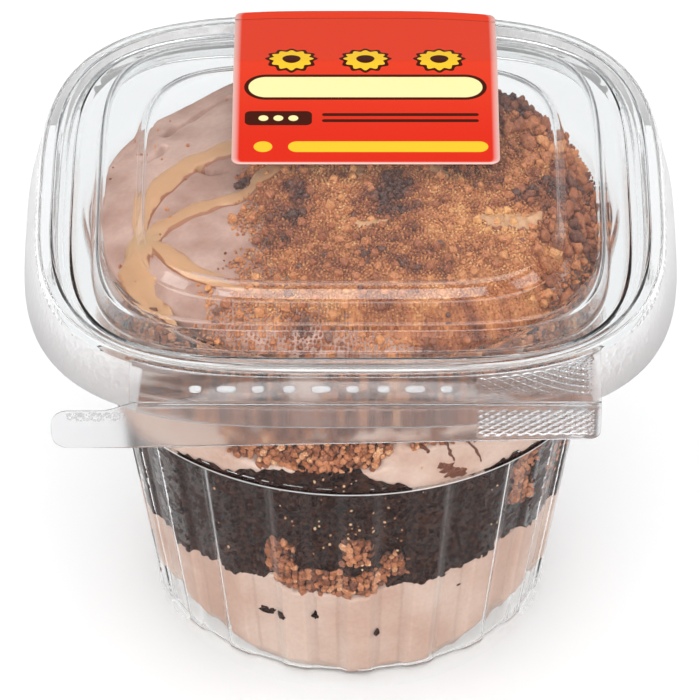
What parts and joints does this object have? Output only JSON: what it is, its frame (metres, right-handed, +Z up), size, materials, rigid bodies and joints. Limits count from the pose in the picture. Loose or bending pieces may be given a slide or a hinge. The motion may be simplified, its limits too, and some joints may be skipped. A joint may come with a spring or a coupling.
{
  "type": "cake parfait",
  "caption": "Layered chocolate cake and icing parfait with a crushed, drizzled topping, shut in its clear fluted cup with a rounded square lid, a front tear strip and a label.",
  "frame": {"origin": "centre of the cup's round foot, on the surface it stands on", "axes": "+Z up from the foot to the lid; -Y towards the front, where the tear strip is; +X to the viewer's right, so the pull tab is on the -X side"},
  "size_m": [0.104, 0.1053, 0.0828],
  "materials": {
    "clear_plastic": "clear, colourless, glossy thermoformed sheet",
    "clear_strip": "clear, colourless sheet, a little hazy, with a diamond grip at one end",
    "label_print": "semi-gloss coated label, plain red-orange field with cream, yellow and brown shapes",
    "icing": "smooth pinkish tan whipped icing, soft sheen",
    "chocolate_cake": "matte, crumbly, near-black brown cake",
    "crushed_pieces": "crumbly, tan to brown crushed pieces with small shiny facets"
  },
  "bodies": {
    "root": {"cup": "clear_plastic", "lid": "clear_plastic", "tear_strip": "clear_strip", "label": "label_print", "icing_bottom": "icing", "cake_layer": "chocolate_cake", "icing_top": "icing", "crumble_topping": "crushed_pieces", "crumb_pocket_front": "crushed_pieces", "crumb_pocket_right": "crushed_pieces"}
  },
  "joints": []
}
